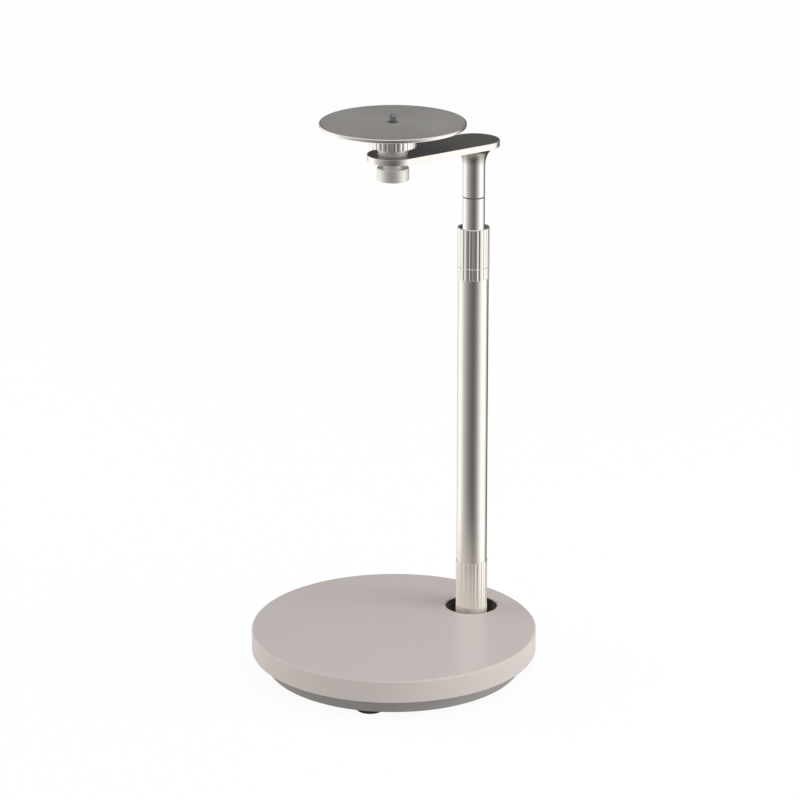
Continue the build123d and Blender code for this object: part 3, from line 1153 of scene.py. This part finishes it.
@dataclass
class SwingArm(SubAssembly):
    """Flat arm with its flared neck, the dark panel let into it and the boss under the tray."""

    body: ClassVar[Body] = Body.ARM
    rim: float = 1.0 * MM
    play: float = 0.05 * MM
    inlay_depth: float = 0.8 * MM
    thickness: float = 5.4 * MM
    ledge: float = 0.4 * MM
    edge_round: float = 0.3 * MM
    panel_round: float = 0.12 * MM
    flare_height: float = 18.0 * MM
    flare_steps: int = 14
    corner_count: int = 128

    def build(self) -> None:
        """Model the arm from its plate up."""
        low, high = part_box("swing_arm")
        top = high[2]
        under = top - self.thickness
        # The arm's finish paints shade into the fillet under its plate.
        finish = CastMetalWithPaintedShade(
            "satin_alloy_arm", Slot.SATIN_ALLOY, SATIN_LOW, SATIN_HIGH, SATIN_ROUGHNESS, COLUMN_AXIS,
            fillet=(under - self.flare_height, under))
        self.keep(self.casting(low[2], top, (high[0] - low[0]) / 2), finish, "swing_arm")
        self.keep(self.panel(top), INLAY_DARK, "arm_inlay")
        self.keep(plain_ring("tray_boss", "arm_boss", TRAY_AXIS, self.edge_round), KNOB_SATIN, "arm_boss")

    def slab(self, name: str, radius: float, bottom: float, height: float) -> bpy.types.Object:
        """Model a plate with round ends about the tray's axis and the column's.

        Args:
            name: Name of the plate.
            radius: Radius of its ends.
            bottom: Level of its underside.
            height: Thickness.

        Returns:
            The plate.
        """
        deselect_all()
        half_step = math.pi / self.corner_count
        bpy.ops.mesh.primitive_circle_add(
            vertices=self.corner_count, radius=radius, fill_type="NGON",
            location=(*TRAY_AXIS, bottom), rotation=(0, 0, half_step))
        plate = settle(name)
        pick(plate, Pick.VERTS, lambda place: place.y > TRAY_AXIS[1])
        bpy.ops.transform.translate(value=(0, COLUMN_AXIS[1] - TRAY_AXIS[1], 0))
        bpy.ops.mesh.select_all(action="SELECT")
        bpy.ops.mesh.extrude_region_move(TRANSFORM_OT_translate={"value": (0, 0, height)})
        close_skin()
        return settle(name)

    def casting(self, neck_bottom: float, top: float, radius: float) -> bpy.types.Object:
        """Model the arm's plate and neck in one piece.

        Args:
            neck_bottom: Level of the neck's lower end.
            top: Level of the plate's top.
            radius: Radius of the plate's ends.

        Returns:
            The arm.
        """
        bottom = top - self.thickness
        arm = self.slab("arm_casting", radius, bottom, self.thickness)
        pick(arm, Pick.FACES, lambda place: place.z > top - self.play)
        bpy.ops.mesh.inset(thickness=self.rim)
        bpy.ops.mesh.extrude_region_move(TRANSFORM_OT_translate={"value": (0, 0, -self.inlay_depth)})
        settle("arm_casting")
        mast = span_of("inner_tube", COLUMN_AXIS).outer
        bore = span_of("swivel_pin", COLUMN_AXIS, low=neck_bottom).outer + self.play
        bore_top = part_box("swivel_pin")[1][2] + MM
        flare = radius - mast - self.ledge
        stretch = self.flare_height / flare
        outline = [(0, bore_top), (bore, bore_top), (bore, neck_bottom), (mast, neck_bottom)]
        outline += [
            (reach, bottom + level * stretch)
            for reach, level in arc((mast + flare, -flare), flare, 180, 90, self.flare_steps)]
        neck_top = bottom + self.thickness / 3
        outline += [(mast + flare, neck_top), (0, neck_top)]
        neck = lathe("arm_neck", outline, COLUMN_AXIS)
        combine(arm, neck, Joinery.JOIN)
        journal = span_of("arm_boss", TRAY_AXIS).inner
        drill(arm, "journal_drill", TRAY_AXIS, journal, bottom, self.thickness)
        round_edges(arm, self.edge_round)
        return arm

    def panel(self, top: float) -> bpy.types.Object:
        """Model the dark panel, with a hole round the boss.

        Args:
            top: Level of the panel's top.

        Returns:
            The panel.
        """
        low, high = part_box("arm_inlay")
        radius = (high[0] - low[0]) / 2
        panel = self.slab("arm_panel", radius, top - self.inlay_depth, self.inlay_depth)
        hole = span_of("arm_boss", TRAY_AXIS).outer + self.play
        drill(panel, "boss_drill", TRAY_AXIS, hole, top, self.inlay_depth)
        round_edges(panel, self.panel_round, 2)
        return panel


@dataclass
class Tray(SubAssembly):
    """Round tray with its ringed pad and the wide fluted hub underneath."""

    body: ClassVar[Body] = Body.TRAY
    flutes: Fluting = Fluting(count=28)
    edge_round: float = 0.18 * MM
    tray_edge: float = 0.5 * MM
    tray_round: float = 0.15 * MM
    tray_rim: float = 1.0 * MM
    ring_pitch: float = 1.6 * MM
    ring_width: float = 0.4 * MM
    ring_depth: float = 0.1 * MM

    def build(self) -> None:
        """Model the tray from the hub up."""
        self.keep(self.hub(), BRIGHT_TRAY, "tray_hub")
        self.keep(self.disc(), SATIN_TRAY, "tray_disc")
        self.keep(self.pad(), PAD_GRIP, "tray_pad")

    def hub(self) -> bpy.types.Object:
        """Model the fluted hub with its journal.

        Returns:
            The hub.
        """
        whole = span_of("tray_hub", TRAY_AXIS)
        boss = span_of("arm_boss", TRAY_AXIS)
        barrel_low = span_of("tray_hub", TRAY_AXIS, low=boss.top).bottom
        barrel = replace(whole, bottom=barrel_low)
        hub = fluted_ring("tray_grip", barrel, self.flutes, self.edge_round)
        journal_radius = span_of("tray_hub", TRAY_AXIS, high=boss.bottom).outer
        journal_span = replace(whole, outer=journal_radius, top=barrel_low + MM)
        journal = lathe("hub_journal", ring_outline(journal_span), TRAY_AXIS)
        combine(hub, journal, Joinery.JOIN)
        smooth(hub)
        return hub

    def disc(self) -> bpy.types.Object:
        """Model the thin tray with its recess for the pad.

        Returns:
            The tray.
        """
        span = span_of("tray_disc", TRAY_AXIS)
        pad = span_of("tray_pad", TRAY_AXIS)
        recess, edge = span.outer - self.tray_rim, self.tray_edge
        disc = lathe("tray_plate", [
            (span.inner, span.bottom), (span.outer - edge, span.bottom), (span.outer, span.bottom + edge),
            (span.outer, span.top - edge), (span.outer - edge, span.top), (recess, span.top),
            (recess, pad.bottom), (span.inner, pad.bottom), (span.inner, span.bottom),
        ], TRAY_AXIS, FINE_STEPS)
        round_edges(disc, self.tray_round)
        return disc

    def pad(self) -> bpy.types.Object:
        """Model the pad with fine grip rings in its top.

        Returns:
            The pad.
        """
        span = span_of("tray_pad", TRAY_AXIS)
        outline = [(span.inner, span.bottom), (span.outer, span.bottom), (span.outer, span.top)]
        rings = int((span.outer - span.inner) / self.ring_pitch)
        for ring in range(1, rings):
            middle, half = span.outer - ring * self.ring_pitch, self.ring_width / 2
            outline += [
                (middle + half, span.top), (middle, span.top - self.ring_depth), (middle - half, span.top)]
        outline += [(span.inner, span.top), (span.inner, span.bottom)]
        pad = lathe("grip_pad", outline, TRAY_AXIS, FINE_STEPS)
        smooth(pad)
        return pad


@dataclass
class ClampKnob(SubAssembly):
    """Knob under the arm and the camera screw that it turns."""

    body: ClassVar[Body] = Body.KNOB
    wall: float = 1.6 * MM
    edge: float = 0.4 * MM
    edge_round: float = 0.25 * MM
    pitch: float = 1.27 * MM
    thread_depth: float = 0.78 * MM
    crest_flat: float = 0.16 * MM
    root_share: float = 0.44
    thread_steps: int = 48
    tip: float = 0.7 * MM

    def build(self) -> None:
        """Model the knob from its cup up."""
        self.keep(self.cup(), KNOB_SATIN, "clamp_knob")
        self.keep(self.core(), KNOB_SATIN, "knob_core")
        self.keep(self.screw(), BOLT_STEEL, "tripod_screw")

    def cup(self) -> bpy.types.Object:
        """Model the knob's smooth cup.

        Returns:
            The cup.
        """
        span = span_of("clamp_knob", TRAY_AXIS)
        inside, floor = span.outer - self.wall, span.bottom + self.wall
        cup = lathe("knob_cup", [
            (0, span.bottom), (span.outer - self.edge, span.bottom), (span.outer, span.bottom + self.edge),
            (span.outer, span.top - self.edge), (span.outer - self.edge, span.top), (inside, span.top),
            (inside, floor), (0, floor),
        ], TRAY_AXIS)
        flatten(cup)
        round_edges(cup, self.edge_round)
        return cup

    def core(self) -> bpy.types.Object:
        """Model the knob's core with the neck that bears on the arm.

        Returns:
            The core.
        """
        span = span_of("knob_core", TRAY_AXIS)
        neck = span_of("knob_core", TRAY_AXIS, low=span.top - MM)
        shoulder = span_of("knob_core", TRAY_AXIS, high=span.top - MM).top
        core = lathe("knob_middle", [
            (neck.inner, span.bottom), (span.outer, span.bottom), (span.outer, shoulder),
            (neck.outer, shoulder), (neck.outer, span.top), (neck.inner, span.top), (neck.inner, span.bottom),
        ], TRAY_AXIS)
        round_edges(core, self.edge_round)
        return core

    def screw(self) -> bpy.types.Object:
        """Model the camera screw: a plain shank with a cut thread on its upper end.

        Returns:
            The screw.
        """
        span = span_of("tripod_screw", TRAY_AXIS)
        shank = span_of("tripod_screw", TRAY_AXIS, high=span.bottom + MM).outer
        foot = span_of("tray_pad", TRAY_AXIS).bottom
        root = span.outer - self.thread_depth
        above = span.top + self.pitch
        screw = lathe("camera_screw", [
            (0, span.bottom), (shank, span.bottom), (shank, foot), (root, foot), (root, above), (0, above),
        ], TRAY_AXIS, SMALL_STEPS)
        combine(screw, self.thread(foot, above, root, span.outer), Joinery.JOIN)
        clear = span.outer + self.tip / 4
        envelope = lathe("screw_envelope", [
            (0, span.bottom - MM), (clear, span.bottom - MM), (clear, span.top - self.tip),
            (clear - self.tip, span.top), (0, span.top),
        ], TRAY_AXIS, SMALL_STEPS)
        combine(screw, envelope, Joinery.TRIM)
        smooth(screw)
        return screw

    def thread(self, bottom: float, top: float, root: float, crest: float) -> bpy.types.Object:
        """Model the ridge of the thread.

        Args:
            bottom: Level where the ridge starts.
            top: Level that the ridge reaches.
            root: Radius at the foot of the ridge.
            crest: Radius of its crest.

        Returns:
            The ridge.
        """
        sunk = root - self.pitch / 10
        half, flat = self.root_share * self.pitch, self.crest_flat / 2
        draw([
            (sunk, bottom - half), (crest, bottom - flat), (crest, bottom + flat), (sunk, bottom + half),
            (sunk, bottom - half)], TRAY_AXIS)
        ridge = settle("thread_ridge")
        turns = math.ceil((top - bottom) / self.pitch) + 1
        shape(
            ridge, Shaping.SCREW, axis="Z", screw_offset=self.pitch, iterations=turns,
            steps=self.thread_steps, render_steps=self.thread_steps)
        open_mesh(ridge)
        bpy.ops.mesh.fill_holes(sides=0)
        close_skin()
        return settle("thread_ridge")


@dataclass(frozen=True)
class Lamp:
    """Square area lamp: its place to the right, towards the camera and up, its side and its watts."""

    name: str
    place: tuple[float, float, float]
    size: float
    power: float


@dataclass
class Studio:
    """Camera, floor, lamps and surroundings of the picture.

    Angles are in degrees, lengths in metres, and the lens and sensor in millimetres.
    The rings give the brightness of the surroundings by angle from the camera.
    """

    azimuth: float = 54.11
    pitch: float = 18.512
    aside: float = 0.00574
    roll: float = -0.06
    distance: float = 2.744685
    eye_height: float = 1.16679
    lens: float = 151.275
    sensor: float = 36.0
    floor_size: float = 60.0
    floor_drop: float = 0.0002
    floor_tone: Colour = (0.9, 0.9, 0.9)
    white_share: float = 0.94
    base_reflection_colour: Colour = (0.64, 0.575, 0.525)
    base_reflection_reach: Point2 = (0.05, 0.34)
    base_reflection_share: float = 0.95
    warmth: Colour = (1.0, 0.972, 0.945)
    top_colour: Colour = (0.85, 0.85, 0.85)
    top_rise: Point2 = (0.4, 0.85)
    upper_rise: Point2 = (0.06, 0.2)
    upper: dict[int, float] = field(default_factory=lambda: {
        -180: 0.14, -150: 0.3, -100: 0.7, -50: 0.9, 0: 0.9, 50: 0.9, 100: 0.7, 150: 0.3, 180: 0.14})
    surround: dict[int, float] = field(default_factory=lambda: {
        -180: 0.2, -165: 0.25, -150: 0.85, -134: 1.0, -104: 1.2, -82: 0.78, -63: 0.49, -45: 0.33, -29: 0.22,
        -14: 0.16, 0: 0.125, 17: 0.18, 32: 0.36, 49: 0.7, 66: 1.1, 86: 1.25, 109: 1.05, 121: 0.6,
        136: 0.13, 160: 0.12, 180: 0.2})
    lamps: tuple[Lamp, ...] = (
        Lamp("overhead", (0.9, 0.2, 1.7), 1.4, 8.0),
        Lamp("key", (1.85, 0.4, 0.55), 0.8, 16.0),
        Lamp("fill", (-1.7, -0.6, 0.5), 1.0, 14.0))
    lamp_aim: tuple[float, float, float] = (0.0, 0.0, 0.2)

    def sides(self) -> tuple[Vector, Vector]:
        """Give the level directions to the picture's right and away from the camera.

        Returns:
            Both directions.
        """
        turn = math.radians(self.azimuth)
        right = Vector((math.cos(turn), math.sin(turn), 0))
        return right, Vector((-right.y, right.x, 0))

    def camera(self) -> None:
        """Set up the camera at the photograph's viewing angle."""
        right, away = self.sides()
        place = right * self.aside - away * self.distance
        place.z = self.eye_height
        tilt = (math.radians(90 - self.pitch), 0, math.radians(self.azimuth))
        bpy.ops.object.camera_add(location=place, rotation=tilt)
        camera = bpy.context.object
        camera.rotation_euler.rotate_axis("Z", math.radians(self.roll))
        camera.data.lens = self.lens
        camera.data.sensor_width = self.sensor
        camera.data.clip_end = 2 * self.floor_size
        bpy.context.scene.camera = camera

    def floor(self) -> None:
        """Lay the pale floor, which shows the camera a white that only the shadow greys, and shows glossy
        rays a glowing ring of the surroundings with a painted reflection of the base's top near the stand.
        """
        deselect_all()
        bpy.ops.mesh.primitive_plane_add(size=self.floor_size, location=(0, 0, -self.floor_drop))
        floor = settle("studio_floor")
        material = bpy.data.materials.new("floor_white")
        material.use_nodes = True
        tree = material.node_tree
        tree.nodes.clear()
        desk = NodeDesk(tree)
        pale = desk.add("BsdfDiffuse", {"Color": (*self.floor_tone, 1)})
        white = desk.add("Emission", {"Color": (1, 1, 1, 1), "Strength": 1.0})
        source = desk.add("TexCoord").outputs["Object"]
        reach = desk.add("VectorMath", {0: source}, operation="LENGTH").outputs["Value"]
        # Painted reflection: near the stand the floor glows for glossy rays in the colour of the base's top.
        far = desk.spread(desk.ease(reach, *self.base_reflection_reach), 1 - self.base_reflection_share, 1.0)
        column = desk.add("Mapping", {"Vector": source, "Location": (-COLUMN_AXIS[0], -COLUMN_AXIS[1], 0)})
        level = self.ring_level(desk, column.outputs[0], self.surround)
        ring = desk.add("Emission", {"Color": desk.tint(far, self.base_reflection_colour, level), "Strength": 1.0})
        path = desk.add("LightPath")
        share = desk.math("MULTIPLY", path.outputs["Is Camera Ray"], self.white_share)
        seen = desk.add("MixShader", {0: share, 1: pale.outputs[0], 2: white.outputs[0]})
        mixed = desk.add("MixShader", {
            0: path.outputs["Is Glossy Ray"], 1: seen.outputs[0], 2: ring.outputs[0]})
        clear = desk.add("BsdfTransparent")
        below = desk.add("NewGeometry").outputs["Backfacing"]
        sided = desk.add("MixShader", {0: below, 1: mixed.outputs[0], 2: clear.outputs[0]})
        desk.add("OutputMaterial", {"Surface": sided.outputs[0]})
        floor.data.materials.append(material)

    def world(self) -> None:
        """Set up a white background and the soft surroundings that metal reflects."""
        world = bpy.data.worlds.new("studio")
        bpy.context.scene.world = world
        world.use_nodes = True
        tree = world.node_tree
        tree.nodes.clear()
        desk = NodeDesk(tree)
        source = desk.add("TexCoord").outputs["Generated"]
        rise = desk.add("SeparateXYZ", {"Vector": source}).outputs["Z"]
        ring = desk.tint(
            desk.ease(rise, *self.upper_rise), self.ring_level(desk, source, self.surround),
            self.ring_level(desk, source, self.upper))
        level = desk.tint(desk.ease(rise, *self.top_rise), ring, self.top_colour)
        path = desk.add("LightPath")
        soft = desk.add("Background", {"Color": level, "Strength": 1.0})
        white = desk.add("Background", {"Color": (1, 1, 1, 1), "Strength": 1.0})
        mixed = desk.add("MixShader", {
            0: path.outputs["Is Camera Ray"], 1: soft.outputs[0], 2: white.outputs[0]})
        desk.add("OutputWorld", {"Surface": mixed.outputs[0]})

    def ring_level(self, desk: NodeDesk, source: bpy.types.NodeSocket,
                   ring: dict[int, float]) -> bpy.types.NodeSocket:
        """Give the brightness of the surroundings in a direction about the stand.

        Args:
            desk: Desk on the floor's or the world's nodes.
            source: Place or direction about the stand.
            ring: Brightness by angle from the camera.

        Returns:
            The brightness as a colour.
        """
        facing = math.radians(90 - self.azimuth)
        turned = desk.add("Mapping", {"Vector": source, "Rotation": (0, 0, facing)}).outputs[0]
        gradient = desk.add("TexGradient", {"Vector": turned}, gradient_type="RADIAL")
        ramp = desk.add("ValToRGB", {"Fac": gradient.outputs["Fac"]})
        self.fill_ramp(ramp.color_ramp, ring)
        return ramp.outputs["Color"]

    def fill_ramp(self, ramp: bpy.types.ColorRamp, ring: dict[int, float]) -> None:
        """Set the brightness all round the stand, by angle from the camera.

        Args:
            ramp: The ramp to fill.
            ring: Brightness by angle.
        """
        stops = sorted(ring.items())
        while len(ramp.elements) < len(stops):
            ramp.elements.new(0.5)
        for element, (angle, level) in zip(ramp.elements, stops):
            element.position = angle / 360 + 0.5
            element.color = (*(level * part for part in self.warmth), 1)

    def hang(self, lamp: Lamp) -> None:
        """Hang a lamp that faces the stand and doesn't show in metal.

        Args:
            lamp: The lamp.
        """
        right, away = self.sides()
        where = right * lamp.place[0] - away * lamp.place[1] + Vector((0, 0, lamp.place[2]))
        bpy.ops.object.light_add(type="AREA", location=where)
        light = bpy.context.object
        light.name = lamp.name
        light.data.energy = lamp.power
        light.data.size = lamp.size
        light.rotation_euler = (Vector(self.lamp_aim) - where).to_track_quat("-Z", "Y").to_euler()
        light.visible_glossy = False

    def build(self) -> None:
        """Set up the whole studio."""
        deselect_all()
        self.camera()
        self.floor()
        self.world()
        for lamp in self.lamps:
            self.hang(lamp)
        bpy.context.scene.view_settings.view_transform = "Standard"


def main() -> None:
    """Build the stand's looks in order and report each piece."""
    logging.basicConfig(level=logging.INFO, format="%(name)s: %(message)s")
    deselect_all()
    for node, finish in KEPT_NODES.items():
        wear(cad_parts[node], finish)
        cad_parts[node].visible_glossy = False
        LOG.info("kept node %s, dressed as %s", node, finish.name)
    for assembly in (WeightedBase(), Column(), TwistLock(), Mast(), SwingArm(), Tray(), ClampKnob()):
        assembly.build()
        assembly.dress()
    Studio().build()


if __name__ == "__main__":
    main()
